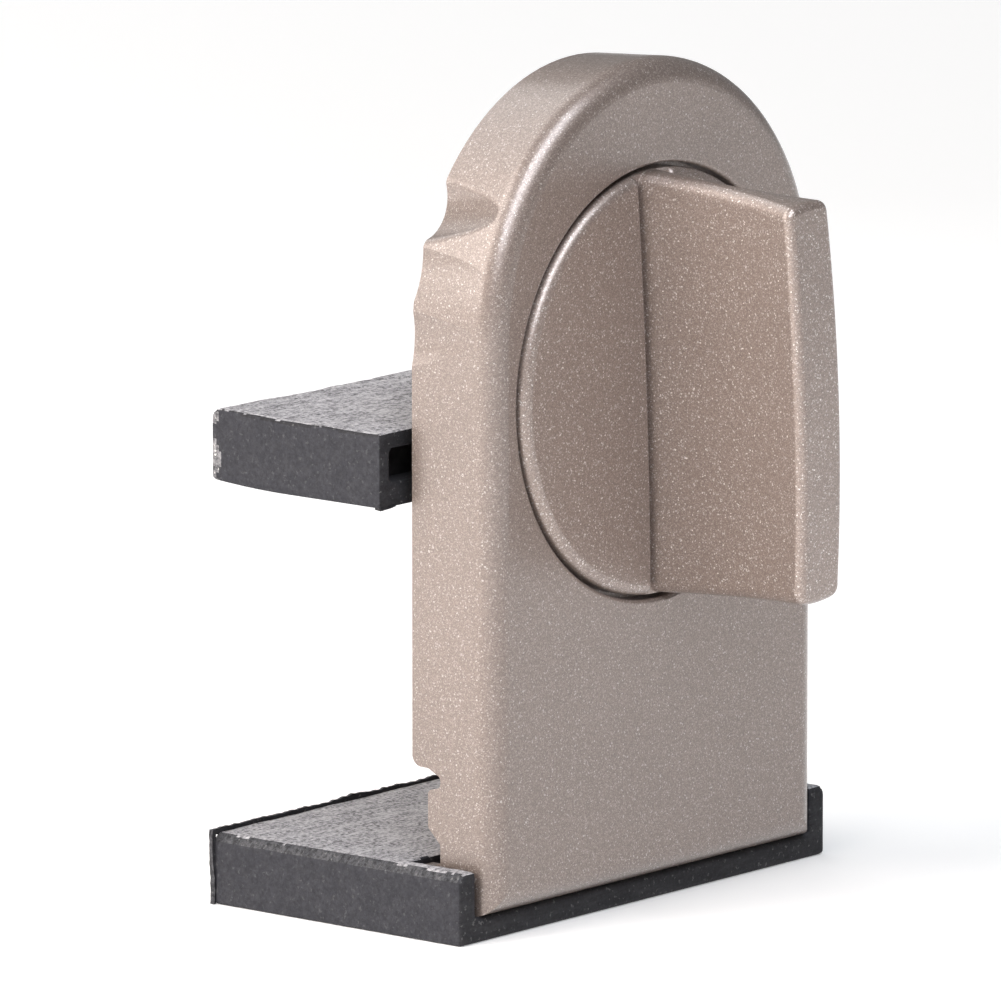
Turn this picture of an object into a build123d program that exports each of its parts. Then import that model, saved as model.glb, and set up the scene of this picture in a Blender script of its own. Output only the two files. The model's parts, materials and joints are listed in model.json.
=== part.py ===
# Sliding window lock: a die-cast housing with a grip knob and two rubber-shod jaws.
# Turning the knob turns a spiral cam, which draws the upper jaw down on the window rail.
#
# Millimetres. +Z is up and the knob faces -Y. The origin lies on the underside of the lower
# pad, on the plane of symmetry, under the housing's flat rear face, which is at Y = 0.

import os
from math import cos, hypot, pi, radians, sin

from build123d import *

os.makedirs("parts", exist_ok=True)

# Clearances
fit_gap = 0.05
running_gap = 0.15

# Housing, seen from the front
body_width = 35.7
axis_above_tongue = 5.35
arch_lift = 4.7
arch_drop = 0.45
front_rim_radius = 1.7
side_wall = 1.6

# Layers from the knob's recess back to the rear face
recess_depth = 1.6
recess_floor = 1.1
friction_washer_thickness = 0.4
cam_thickness = 1.6
slider_thickness = 1.2
plate_thickness = 1.0

# Round recess for the knob's disc
recess_radius = 15.2
recess_edge_radius = 0.3
front_wall = 1.2
recess_wall = 1.2

# Grip flutes in the rim, deepest at the rear: angle from the arch's crown, width, depth
flutes = [(60.0, 4.5, 1.15), (74.6, 4.2, 0.35), (88.6, 4.2, 0.3)]
flute_front_land = 1.8
flute_crest_radius = 0.7
overcut = 1.0

# Solid block under the works, with its step at the rear, and the foot plate
block_height = 12.85
foot_thickness = 2.0
foot_reach = 14.45
foot_corner = 2.0
step_top = 9.85
step_depth = 2.5
step_lip_depth = 1.4
step_lip_top = 8.3
step_lip_bottom = 5.7
step_corner = 0.8
step_round = 0.4
gusset_width = 1.3
gusset_height = 0.95

# Rear plate and its countersunk screws
boss_radius = 2.2
screw_radius = 1.0
screw_head_radius = 1.9
screw_length = 3.4
screw_spare_depth = 0.5
lower_screw_inset = 3.75
lower_screw_rise = 3.2
upper_screw_angle = 37.3
driver_slot_width = 0.45
driver_slot_depth = 0.4

# Knob
disc_gap = 0.3
disc_proud = 0.4
disc_rim_radius = 0.8
crease_width = 0.35
crease_depth = 0.5
crease_lip_radius = 0.4
bar_reach = 14.4
bar_front_width = 5.05
bar_end_draft = 0.95
bar_flank_reach = 10.2
bar_flank_width = 3.05
bar_root_width = 2.95
bar_waist = 2.3
bar_hollow = 0.15
bar_crown = 0.6
bar_end_bulge = 0.25
bar_corner_radius = 0.9
bar_edge_radius = 0.6
knob_rest_turn = 3.0
spindle_radius = 3.5
square_side = 4.2

# Flanged bush, washers and the screw that holds the knob
bush_wall = 1.0
bush_flange_radius = 6.0
bush_flange_thickness = 0.3
friction_washer_radius = 6.5
knob_screw_radius = 1.0
knob_bore_wall = 0.6
knob_screw_head_radius = 2.2
knob_screw_head_thickness = 0.8
lock_washer_radius = 2.4
lock_washer_thickness = 0.4

# Spiral cam and its follower
spiral_start = 5.2
spiral_turns = 1.25
cam_setback = 0.4
pin_radius = 0.9
groove_gap = 0.25
groove_depth = 1.1
cam_lip = 0.65
spiral_step = 15

# Jaw slider and jaw plate
slider_width = 20.0
slider_corner = 3.0
slider_above_slot = 2.55
slider_below_tongue = 3.9
tongue_width = 14.0
tongue_thickness = 1.2
tongue_reach = 12.0
jaw_plate_thickness = 2.2
jaw_plate_front = 2.6
jaw_plate_end = 14.3
jaw_plate_corner = 1.5
rivet_radius = 0.95
rivet_head_radius = 1.6
rivet_spacing = 8.0
rivet_setback = 7.5

# Rubber pads
pad_floor = 1.75
pad_skin = 1.25
pad_end_wall = 1.75
pad_edge_radius = 0.35
pad_socket_gap = 0.55
pad_side_wall = 1.7
lower_pad_setback = 1.05
lower_skin_lead = 0.3
jaw_opening = 24.6
upper_pad_front = 1.0
upper_pad_side_wall = 1.1
upper_pad_end_wall = 1.85

# Levels through the depth, from the rear face forwards
plate_front_y = -plate_thickness
slider_rear_y = plate_front_y - running_gap
slider_front_y = slider_rear_y - slider_thickness
cam_rear_y = slider_front_y - running_gap
cam_front_y = cam_rear_y - cam_thickness
inner_face_y = cam_front_y - friction_washer_thickness
recess_floor_y = inner_face_y - recess_floor
front_y = recess_floor_y - recess_depth
body_depth = -front_y
disc_rear_y = recess_floor_y - bush_flange_thickness
disc_front_y = front_y - disc_proud
crease_floor_y = disc_front_y + crease_depth
knob_bore_end_y = disc_front_y + knob_bore_wall
bar_flank_y = front_y - bar_flank_reach
bar_front_y = front_y - bar_reach

# Heights
body_bottom = pad_floor
arch_radius = body_width / 2
cavity_bottom = body_bottom + block_height
cavity_half = arch_radius - side_wall
foot_top = body_bottom + foot_thickness
lower_pad_height = foot_top + fit_gap + pad_skin
upper_pad_bottom = lower_pad_height + jaw_opening
tongue_bottom = upper_pad_bottom + pad_floor
tongue_top = tongue_bottom + tongue_thickness
jaw_plate_top = tongue_bottom + jaw_plate_thickness
upper_pad_top = jaw_plate_top + fit_gap + pad_skin
axis_height = tongue_bottom + axis_above_tongue
arch_height = axis_height + arch_lift
rear_arch_height = arch_height - arch_drop

# Widths and radii that follow
pad_inner_half = arch_radius + pad_socket_gap
pad_half = pad_inner_half + pad_side_wall
foot_half = pad_inner_half - 2 * fit_gap
upper_inner_half = pad_half - upper_pad_side_wall
jaw_plate_half = upper_inner_half - 2 * fit_gap
disc_radius = recess_radius - disc_gap
groove_half = pin_radius + groove_gap
cam_radius = disc_radius - cam_setback
jaw_travel = cam_radius - cam_lip - groove_half - spiral_start
spiral_lead = jaw_travel / spiral_turns
pin_height = axis_height - spiral_start
slot_half = lock_washer_radius + 2 * running_gap
slot_bottom = axis_height - slot_half
slot_top = axis_height + jaw_travel + slot_half
slider_top = slot_top + slider_above_slot
slider_bottom = tongue_bottom - slider_below_tongue
boss_circle = cavity_half - boss_radius + fit_gap
upper_screw_offset = boss_circle * sin(radians(upper_screw_angle))
upper_screw_height = rear_arch_height + boss_circle * cos(radians(upper_screw_angle))
lower_screw_offset = cavity_half - lower_screw_inset
lower_screw_height = cavity_bottom + lower_screw_rise
screw_places = [
    (-lower_screw_offset, lower_screw_height),
    (lower_screw_offset, lower_screw_height),
    (-upper_screw_offset, upper_screw_height),
    (upper_screw_offset, upper_screw_height),
]


def facing_front(y):
    """The plane at this Y that looks towards the knob, with +X to the right and +Z up."""
    return Plane.XZ.offset(-y)


def door_outline(half_width, bottom, spring):
    """A doorway shape: straight sides and a half-round top that springs at this height."""
    left = (-half_width, spring)
    right = (half_width, spring)
    with BuildSketch(Plane.XY, mode=Mode.PRIVATE) as door:
        with BuildLine():
            Polyline(left, (-half_width, bottom), (half_width, bottom), right)
            ThreePointArc(right, (0, spring + half_width), left)
        make_face()
    return door.sketch


def across_bar(y):
    """The plane at this Y that looks towards the knob, turned with its grip bar."""
    turn = radians(knob_rest_turn)
    return Plane((0, y, axis_height), (cos(turn), 0, sin(turn)), (0, -1, 0))


def waisted_outline(half_end, half_waist, half_length):
    """A long shape with hollow sides and gently bulging ends."""
    side_end = half_length - bar_end_bulge
    with BuildLine(mode=Mode.PRIVATE) as waisted:
        ThreePointArc((-half_end, -side_end), (-half_waist, 0), (-half_end, side_end))
        ThreePointArc((-half_end, side_end), (0, half_length), (half_end, side_end))
        ThreePointArc((half_end, side_end), (half_waist, 0), (half_end, -side_end))
        ThreePointArc((half_end, -side_end), (0, -half_length), (-half_end, -side_end))
    return waisted.line


def finish(piece, name):
    """Labels a finished piece and writes it."""
    piece.part.label = name
    export_step(piece.part, f"parts/{name}.step")


# Housing: front wall, side walls, knob recess, rear cavity and foot plate in one casting
with BuildPart() as housing:
    with BuildSketch(facing_front(front_y)):
        with Locations((0, body_bottom)):
            lower_height = rear_arch_height - body_bottom
            Rectangle(body_width, lower_height, align=(Align.CENTER, Align.MIN))
    extrude(amount=-body_depth)
    backwards = Vector(0, body_depth, -arch_drop)
    with BuildSketch(facing_front(front_y)):
        add(door_outline(arch_radius, rear_arch_height, arch_height))
    extrude(amount=backwards.length, dir=backwards)
    front_face = housing.faces().sort_by(Axis.Y)[0]
    fillet(front_face.edges(), front_rim_radius)

    for flute_angle, flute_width, flute_depth in flutes:
        for side in (-1, 1):
            half_chord = flute_width / 2
            cutter_radius = (half_chord**2 + flute_depth**2) / (2 * flute_depth)
            outward = Vector(side * sin(radians(flute_angle)), 0, cos(radians(flute_angle)))
            rear_centre = Vector(0, 0, rear_arch_height)
            run_share = (body_depth - flute_front_land) / body_depth
            rear_end = rear_centre + outward * (arch_radius - flute_depth + cutter_radius)
            front_end = rear_end + outward * flute_depth - backwards * run_share
            forwards = (front_end - rear_end).normalized()
            with BuildSketch(Plane(rear_end - forwards * overcut, z_dir=forwards)):
                Circle(cutter_radius)
            extrude(amount=body_depth + overcut, mode=Mode.SUBTRACT)
    through = housing.edges().filter_by(lambda e: e.bounding_box().size.Y > body_depth / 2)
    deepest_flute_crests = through.sort_by(Axis.Z)[-4:]
    fillet(deepest_flute_crests, flute_crest_radius)

    with BuildSketch(facing_front(front_y)):
        with Locations((0, axis_height)):
            Circle(recess_radius)
    extrude(amount=-recess_depth, mode=Mode.SUBTRACT)
    circles = housing.edges().filter_by(GeomType.CIRCLE)
    at_front = [e for e in circles if e.arc_center.Y < front_y + fit_gap]
    mouth = [e for e in at_front if abs(e.radius - recess_radius) < fit_gap]
    fillet(mouth, recess_edge_radius)

    with BuildSketch(facing_front(0)):
        add(door_outline(cavity_half, cavity_bottom, rear_arch_height))
    extrude(amount=-inner_face_y, mode=Mode.SUBTRACT)
    pocket_height = axis_height - recess_radius - recess_wall - cavity_bottom
    with BuildSketch(facing_front(0)):
        with Locations((0, cavity_bottom)):
            Rectangle(2 * cavity_half, pocket_height, align=(Align.CENTER, Align.MIN))
    extrude(amount=body_depth - front_wall, mode=Mode.SUBTRACT)
    with BuildSketch(facing_front(plate_front_y)):
        with Locations(*screw_places):
            Circle(boss_radius)
    extrude(amount=body_depth - front_wall - plate_thickness)
    bore_depth = screw_length + screw_spare_depth
    with BuildSketch(facing_front(0)):
        with Locations(*screw_places):
            Circle(screw_radius + fit_gap)
    extrude(amount=bore_depth, mode=Mode.SUBTRACT)
    with BuildSketch(facing_front(front_y)):
        with Locations((0, axis_height)):
            Circle(spindle_radius + bush_wall + 2 * fit_gap)
    extrude(amount=-body_depth, mode=Mode.SUBTRACT)

    with BuildSketch(Plane.YZ) as step:
        with BuildLine():
            top = body_bottom + step_top
            lip_top = body_bottom + step_lip_top
            lip_bottom = body_bottom + step_lip_bottom
            slant = step_depth - step_lip_depth
            Line((overcut, top + step_corner), (0, top + step_corner))
            RadiusArc((0, top + step_corner), (-step_corner, top), step_corner)
            Polyline(
                (-step_corner, top),
                (-step_depth + slant, top),
                (-step_depth, top - slant / 2),
                (-step_depth, lip_top + slant / 4),
                (-step_lip_depth, lip_top),
                (-step_lip_depth, lip_bottom),
                (-step_depth, lip_bottom - slant),
                (-step_depth, foot_top),
                (overcut, foot_top),
                (overcut, top + step_corner),
            )
        make_face()
        inner = [v for v in step.vertices() if v.X < -step_corner - fit_gap]
        fillet([v for v in inner if v.Y > foot_top + fit_gap], step_round)
    extrude(amount=arch_radius + overcut, both=True, mode=Mode.SUBTRACT)

    with BuildSketch(Plane.XY.offset(body_bottom)):
        with Locations((0, foot_reach / 2)):
            Rectangle(2 * foot_half, foot_reach)
        with Locations((0, -step_depth / 2)):
            Rectangle(2 * arch_radius, step_depth)
    extrude(amount=foot_thickness)
    rear_corners = housing.edges().filter_by(Axis.Z).group_by(Axis.Y)[-1]
    fillet(rear_corners, foot_corner)
    gusset_root = -step_depth - fit_gap
    gusset_end = -lower_skin_lead - fit_gap
    gusset_top = foot_top + gusset_height
    for side in (-1, 1):
        middle = Plane.YZ.offset(side * (arch_radius - gusset_width / 2))
        with BuildSketch(middle):
            with BuildLine():
                Polyline(
                    (gusset_root, foot_top - fit_gap),
                    (gusset_root, gusset_top + step_corner / 2),
                    (gusset_root + step_corner, gusset_top),
                    (gusset_end - step_corner / 2, gusset_top),
                    (gusset_end, gusset_top - gusset_height / 2),
                    (gusset_end, foot_top - fit_gap),
                    close=True,
                )
            make_face()
        extrude(amount=gusset_width / 2, both=True)
finish(housing, "housing")

# Flanged bush: lines the housing's bore and carries the knob's disc on its flange
with BuildPart() as spindle_bush:
    with BuildSketch(facing_front(recess_floor_y)):
        with Locations((0, axis_height)):
            Circle(bush_flange_radius)
    extrude(amount=bush_flange_thickness)
    with BuildSketch(facing_front(recess_floor_y)):
        with Locations((0, axis_height)):
            Circle(spindle_radius + bush_wall + fit_gap)
    extrude(amount=-recess_floor)
    with BuildSketch(facing_front(inner_face_y)):
        with Locations((0, axis_height)):
            Circle(spindle_radius + fit_gap)
    extrude(amount=body_depth, mode=Mode.SUBTRACT)
finish(spindle_bush, "spindle_bush")

# Rear plate: closes the works and guides the jaw's neck in its window
with BuildPart() as back_plate:
    with BuildSketch(facing_front(0)):
        add(door_outline(cavity_half - fit_gap, cavity_bottom + fit_gap, rear_arch_height))
    extrude(amount=plate_thickness)
    window_top = tongue_top + 2 * running_gap
    window_bottom = tongue_bottom - jaw_travel - 2 * running_gap
    with BuildSketch(facing_front(0)):
        with Locations((0, (window_top + window_bottom) / 2)):
            Rectangle(tongue_width + 4 * running_gap, window_top - window_bottom)
    extrude(amount=plate_thickness, mode=Mode.SUBTRACT)
    rear_of_plate = Plane((0, 0, 0), x_dir=(-1, 0, 0), z_dir=(0, 1, 0))
    with Locations(rear_of_plate):
        with Locations(*[(-x, z) for x, z in screw_places]):
            CounterSinkHole(screw_radius + fit_gap, screw_head_radius + fit_gap, plate_thickness)
finish(back_plate, "back_plate")


# Countersunk screws that hold the rear plate, with a cross recess
for number, (screw_x, screw_z) in enumerate(screw_places, start=1):
    with BuildPart() as plate_screw:
        with BuildSketch(facing_front(0)):
            with Locations((screw_x, screw_z)):
                Circle(screw_head_radius)
        with BuildSketch(facing_front(-(screw_head_radius - screw_radius))):
            with Locations((screw_x, screw_z)):
                Circle(screw_radius)
        loft()
        with BuildSketch(facing_front(0)):
            with Locations((screw_x, screw_z)):
                Circle(screw_radius)
        extrude(amount=screw_length)
        with BuildSketch(facing_front(0)):
            with Locations((screw_x, screw_z)):
                Rectangle(2 * screw_radius, driver_slot_width)
                Rectangle(driver_slot_width, 2 * screw_radius)
        extrude(amount=driver_slot_depth, mode=Mode.SUBTRACT)
    finish(plate_screw, f"plate_screw_{number}")

# Lower pad: a rubber boot, open at the front around the housing and closed over the foot
with BuildPart() as lower_pad:
    pad_front_y = front_y + lower_pad_setback
    pad_end_y = foot_reach + fit_gap + pad_end_wall
    with BuildSketch(Plane.XY):
        with Locations((0, (pad_front_y + pad_end_y) / 2)):
            Rectangle(2 * pad_half, pad_end_y - pad_front_y)
    extrude(amount=lower_pad_height)
    fillet(lower_pad.edges(), pad_edge_radius)
    with BuildSketch(Plane.XY.offset(pad_floor)):
        with Locations((0, -lower_skin_lead)):
            Rectangle(2 * pad_inner_half, body_depth, align=(Align.CENTER, Align.MAX))
    extrude(amount=lower_pad_height, mode=Mode.SUBTRACT)
    with BuildSketch(Plane.XY.offset(pad_floor)) as tunnel:
        with Locations((0, -body_depth)):
            tunnel_length = body_depth + foot_reach + fit_gap
            Rectangle(2 * pad_inner_half, tunnel_length, align=(Align.CENTER, Align.MIN))
        fillet(tunnel.vertices().group_by(Axis.Y)[-1], foot_corner)
    extrude(amount=foot_thickness + fit_gap, mode=Mode.SUBTRACT)
finish(lower_pad, "lower_pad")

# Grip bar: waisted where it meets the disc, hollow in its flanks and crowned at its front
with BuildPart() as grip_bar:
    root_end = disc_radius - fit_gap
    front_end = disc_radius - bar_end_draft
    flank_end = root_end - (root_end - front_end) * bar_flank_reach / bar_reach
    bar_sections = [
        (crease_floor_y + fit_gap, bar_root_width / 2, bar_waist / 2, root_end),
        (bar_flank_y, bar_flank_width / 2, bar_flank_width / 2 - bar_hollow, flank_end),
        (bar_front_y, bar_front_width / 2, bar_front_width / 2 - fit_gap, front_end),
    ]
    for section_y, half_end, half_waist, half_length in bar_sections:
        with BuildSketch(across_bar(section_y)) as section:
            add(waisted_outline(half_end, half_waist, half_length))
            make_face()
            fillet(section.vertices(), bar_corner_radius)
    loft()
    with BuildSketch(Plane.YZ):
        with BuildLine():
            crown_span = front_end + overcut
            crown_edge = bar_front_y + bar_crown * (crown_span / front_end) ** 2
            ahead = bar_front_y - overcut
            low = axis_height - crown_span
            high = axis_height + crown_span
            ThreePointArc((crown_edge, low), (bar_front_y, axis_height), (crown_edge, high))
            Polyline((crown_edge, high), (ahead, high), (ahead, low), (crown_edge, low))
        make_face()
    extrude(amount=bar_front_width, both=True, mode=Mode.SUBTRACT)
    bar_face = grip_bar.faces().sort_by(Axis.Y)[0]
    fillet(bar_face.edges(), bar_edge_radius)

# Knob: a disc with the grip bar, a spindle, and a square end for the cam, in one casting
with BuildPart() as knob:
    with BuildSketch(facing_front(disc_rear_y)):
        with Locations((0, axis_height)):
            Circle(disc_radius)
    extrude(amount=disc_rear_y - disc_front_y)
    fillet(knob.edges().sort_by(Axis.Y)[0], disc_rim_radius)
    crease_end = bar_root_width / 2 + crease_width
    crease_waist = bar_waist / 2 + crease_width
    with BuildSketch(across_bar(disc_front_y)):
        add(waisted_outline(crease_end, crease_waist, disc_radius + overcut))
        make_face()
    extrude(amount=-crease_depth, mode=Mode.SUBTRACT)
    panels = knob.faces().filter_by(Axis.Y).group_by(Axis.Y)[0]
    crease_lips = [e for e in panels.edges() if abs(e.center().X) < disc_radius / 2]
    fillet(crease_lips, crease_lip_radius)
    add(grip_bar.part)
    with BuildSketch(facing_front(disc_rear_y)):
        with Locations((0, axis_height)):
            Circle(spindle_radius)
    extrude(amount=-(cam_front_y - disc_rear_y))
    with BuildSketch(facing_front(cam_front_y)):
        with Locations((0, axis_height)):
            Rectangle(square_side, square_side)
    extrude(amount=-cam_thickness)
    with BuildSketch(facing_front(cam_rear_y)):
        with Locations((0, axis_height)):
            Circle(knob_screw_radius + fit_gap)
    extrude(amount=cam_rear_y - knob_bore_end_y, mode=Mode.SUBTRACT)
finish(knob, "knob")

# Friction washer: a thin nylon ring that keeps the knob where it is put
with BuildPart() as friction_washer:
    with BuildSketch(facing_front(cam_front_y)):
        with Locations((0, axis_height)):
            Circle(friction_washer_radius)
            Circle(spindle_radius + running_gap, mode=Mode.SUBTRACT)
    extrude(amount=friction_washer_thickness)
finish(friction_washer, "friction_washer")


def spiral_point(degrees_along, offset):
    """A point of the groove, in X and Z from the axis, offset outwards from its middle line."""
    angle = radians(degrees_along)
    rate = spiral_lead / (2 * pi)
    radius = spiral_start + rate * angle
    slope = hypot(radius, rate)
    along_x = (rate * sin(angle) + radius * cos(angle)) / slope
    along_z = (-rate * cos(angle) + radius * sin(angle)) / slope
    x = radius * sin(angle) + offset * along_z
    z = -radius * cos(angle) - offset * along_x
    return (x, axis_height + z)


# Spiral cam: its groove has a constant rise, so the jaw moves evenly as the knob turns
with BuildPart() as spiral_cam:
    with BuildSketch(facing_front(cam_rear_y)):
        with Locations((0, axis_height)):
            Circle(cam_radius)
            Rectangle(square_side + 2 * fit_gap, square_side + 2 * fit_gap, mode=Mode.SUBTRACT)
    extrude(amount=cam_thickness)
    sweep_angle = 360 * spiral_turns
    steps = round(sweep_angle / spiral_step)
    stations = [sweep_angle * i / steps for i in range(steps + 1)]
    with BuildSketch(facing_front(cam_rear_y)):
        with BuildLine():
            Spline(*[spiral_point(s, groove_half) for s in stations])
            Spline(*[spiral_point(s, -groove_half) for s in stations])
            start_inner = spiral_point(0, -groove_half)
            start_outer = spiral_point(0, groove_half)
            end_inner = spiral_point(sweep_angle, -groove_half)
            end_outer = spiral_point(sweep_angle, groove_half)
            Line(start_inner, start_outer)
            Line(end_inner, end_outer)
        make_face()
        with Locations(spiral_point(0, 0), spiral_point(sweep_angle, 0)):
            Circle(groove_half)
    extrude(amount=groove_depth, mode=Mode.SUBTRACT)
finish(spiral_cam, "spiral_cam")

# Lock washer and screw that hold the cam on the knob's square
with BuildPart() as lock_washer:
    with BuildSketch(facing_front(cam_rear_y + lock_washer_thickness)):
        with Locations((0, axis_height)):
            Circle(lock_washer_radius)
            Circle(knob_screw_radius + 2 * fit_gap, mode=Mode.SUBTRACT)
    extrude(amount=lock_washer_thickness)
finish(lock_washer, "lock_washer")

with BuildPart() as knob_screw:
    head_front_y = cam_rear_y + lock_washer_thickness
    head_rear_y = head_front_y + knob_screw_head_thickness
    with BuildSketch(facing_front(head_rear_y)):
        with Locations((0, axis_height)):
            Circle(knob_screw_head_radius)
    extrude(amount=knob_screw_head_thickness)
    head_rim = knob_screw.edges().filter_by(GeomType.CIRCLE).sort_by(Axis.Y)[-1]
    fillet(head_rim, knob_screw_head_thickness / 2)
    with BuildSketch(facing_front(head_front_y)):
        with Locations((0, axis_height)):
            Circle(knob_screw_radius)
    extrude(amount=head_front_y - knob_bore_end_y - screw_spare_depth)
    with BuildSketch(facing_front(head_rear_y)):
        with Locations((0, axis_height)):
            Rectangle(2 * knob_screw_radius, driver_slot_width)
            Rectangle(driver_slot_width, 2 * knob_screw_radius)
    extrude(amount=driver_slot_depth, mode=Mode.SUBTRACT)
finish(knob_screw, "knob_screw")

# Jaw slider: a flat yoke around the knob's screw, with a neck that passes out at the rear
rivet_places = [(-rivet_spacing / 2, rivet_setback), (rivet_spacing / 2, rivet_setback)]
with BuildPart() as jaw_slider:
    with BuildSketch(facing_front(slider_rear_y)) as yoke:
        with Locations((0, (slider_top + slider_bottom) / 2)):
            RectangleRounded(slider_width, slider_top - slider_bottom, slider_corner)
        with Locations((0, (slot_top + slot_bottom) / 2)):
            SlotOverall(slot_top - slot_bottom, 2 * slot_half, rotation=90, mode=Mode.SUBTRACT)
    extrude(amount=slider_thickness)
    with BuildSketch(Plane.XY.offset(tongue_bottom)):
        with Locations((0, slider_front_y)):
            tongue_length = tongue_reach - slider_front_y
            Rectangle(tongue_width, tongue_length, align=(Align.CENTER, Align.MIN))
        with Locations(*rivet_places):
            Circle(rivet_radius + fit_gap, mode=Mode.SUBTRACT)
    extrude(amount=tongue_thickness)
    with BuildSketch(facing_front(slider_front_y)):
        with Locations((0, pin_height)):
            Circle(pin_radius + fit_gap)
    extrude(amount=-slider_thickness, mode=Mode.SUBTRACT)
finish(jaw_slider, "jaw_slider")

# Follower pin: rides in the cam's groove
with BuildPart() as follower_pin:
    pin_tip_y = cam_rear_y - groove_depth + running_gap
    with BuildSketch(facing_front(slider_rear_y)):
        with Locations((0, pin_height)):
            Circle(pin_radius)
    extrude(amount=slider_rear_y - pin_tip_y)
finish(follower_pin, "follower_pin")

# Jaw plate: a flat bar inside the upper pad, rebated over the slider's tongue
with BuildPart() as jaw_plate:
    with BuildSketch(Plane.XY.offset(tongue_bottom)) as plate_shape:
        with Locations((0, jaw_plate_front)):
            jaw_plate_length = jaw_plate_end - jaw_plate_front
            Rectangle(2 * jaw_plate_half, jaw_plate_length, align=(Align.CENTER, Align.MIN))
        fillet(plate_shape.vertices().group_by(Axis.Y)[-1], jaw_plate_corner)
    extrude(amount=jaw_plate_thickness)
    with BuildSketch(Plane.XY.offset(tongue_bottom)):
        rebate_width = tongue_width + 2 * fit_gap
        rebate_length = tongue_reach + fit_gap
        Rectangle(rebate_width, rebate_length, align=(Align.CENTER, Align.MIN))
    extrude(amount=tongue_thickness, mode=Mode.SUBTRACT)
    with Locations(Plane.XY.offset(jaw_plate_top)):
        with Locations(*rivet_places):
            rivet_bore = rivet_radius + fit_gap
            CounterSinkHole(rivet_bore, rivet_head_radius + fit_gap, jaw_plate_thickness)
finish(jaw_plate, "jaw_plate")

# Flush rivets that join the jaw plate to the slider's tongue
for name, (rivet_x, rivet_y) in zip(("jaw_rivet_left", "jaw_rivet_right"), rivet_places):
    with BuildPart() as jaw_rivet:
        with BuildSketch(Plane.XY.offset(tongue_bottom)):
            with Locations((rivet_x, rivet_y)):
                Circle(rivet_radius)
        extrude(amount=jaw_plate_thickness)
        with BuildSketch(Plane.XY.offset(jaw_plate_top)):
            with Locations((rivet_x, rivet_y)):
                Circle(rivet_head_radius)
        with BuildSketch(Plane.XY.offset(jaw_plate_top - (rivet_head_radius - rivet_radius))):
            with Locations((rivet_x, rivet_y)):
                Circle(rivet_radius)
        loft()
    finish(jaw_rivet, name)

# Upper pad: a rubber sock over the jaw plate, open at the front
with BuildPart() as upper_pad:
    upper_pad_end = jaw_plate_end + fit_gap + upper_pad_end_wall
    with BuildSketch(Plane.XY.offset(upper_pad_bottom)):
        with Locations((0, upper_pad_front)):
            upper_pad_length = upper_pad_end - upper_pad_front
            Rectangle(2 * pad_half, upper_pad_length, align=(Align.CENTER, Align.MIN))
    extrude(amount=upper_pad_top - upper_pad_bottom)
    fillet(upper_pad.edges(), pad_edge_radius)
    with BuildSketch(Plane.XY.offset(tongue_bottom)) as sock:
        sock_length = jaw_plate_end + fit_gap
        Rectangle(2 * upper_inner_half, sock_length, align=(Align.CENTER, Align.MIN))
        fillet(sock.vertices().group_by(Axis.Y)[-1], jaw_plate_corner)
    extrude(amount=jaw_plate_thickness + fit_gap, mode=Mode.SUBTRACT)
finish(upper_pad, "upper_pad")

print(f"jaw travel {jaw_travel:.3f} mm, {jaw_travel / (2 * pi * spiral_turns):.6f} mm per radian")
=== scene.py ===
# %% [markdown]
# This lesson dresses a small sliding window lock for a studio picture. The working parts come
# ready made, at their true size, as fixed solids that ride on three bodies: the housing, the
# knob and the jaw. What is left for Blender is everything the eye judges: the flake in the
# paint, the rough rubber of the two pads, and the light that shows them.

# %% Load the fixed parts
import json
import math

import bpy
from mathutils import Matrix, Quaternion, Vector, noise as smooth_noise

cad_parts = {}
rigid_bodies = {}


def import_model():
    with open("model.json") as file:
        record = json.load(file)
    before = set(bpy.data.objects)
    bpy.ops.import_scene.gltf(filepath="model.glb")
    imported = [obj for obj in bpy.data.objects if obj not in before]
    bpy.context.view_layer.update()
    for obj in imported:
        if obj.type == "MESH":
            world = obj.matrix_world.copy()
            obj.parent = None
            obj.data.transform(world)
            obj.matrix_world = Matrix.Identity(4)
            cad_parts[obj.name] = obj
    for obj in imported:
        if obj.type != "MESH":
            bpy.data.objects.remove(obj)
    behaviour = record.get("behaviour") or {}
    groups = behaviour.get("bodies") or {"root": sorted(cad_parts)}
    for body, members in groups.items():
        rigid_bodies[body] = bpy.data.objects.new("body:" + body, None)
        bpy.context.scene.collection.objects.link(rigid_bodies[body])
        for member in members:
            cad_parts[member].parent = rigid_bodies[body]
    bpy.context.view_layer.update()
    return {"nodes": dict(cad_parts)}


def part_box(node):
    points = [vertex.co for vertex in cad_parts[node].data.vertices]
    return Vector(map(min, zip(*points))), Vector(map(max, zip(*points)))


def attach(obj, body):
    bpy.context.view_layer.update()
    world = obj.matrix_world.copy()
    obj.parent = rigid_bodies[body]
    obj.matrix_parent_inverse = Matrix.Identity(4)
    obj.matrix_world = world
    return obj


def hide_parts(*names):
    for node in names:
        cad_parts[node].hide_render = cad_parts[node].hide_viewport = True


for leftover in list(bpy.data.objects):
    bpy.data.objects.remove(leftover)
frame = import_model()
nodes = frame["nodes"]

# %% [markdown]
# Blender counts in metres, and this lock is only six centimetres tall. A short name for one
# millimetre keeps the numbers readable. The boxes of the parts give the places that the rest
# of the lesson needs, so nothing is measured twice.

# %% Sizes read from the parts
MM = 0.001
housing_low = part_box("housing")[0]
knob_low, knob_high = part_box("knob")
lower_low, lower_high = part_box("lower_pad")
upper_low, upper_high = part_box("upper_pad")
knob_axis_z = (knob_low.z + knob_high.z) / 2
front_y = housing_low.y
print("housing front at", round(front_y / MM, 2), "mm")
print("knob axis at", round(knob_axis_z / MM, 2), "mm")

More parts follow.
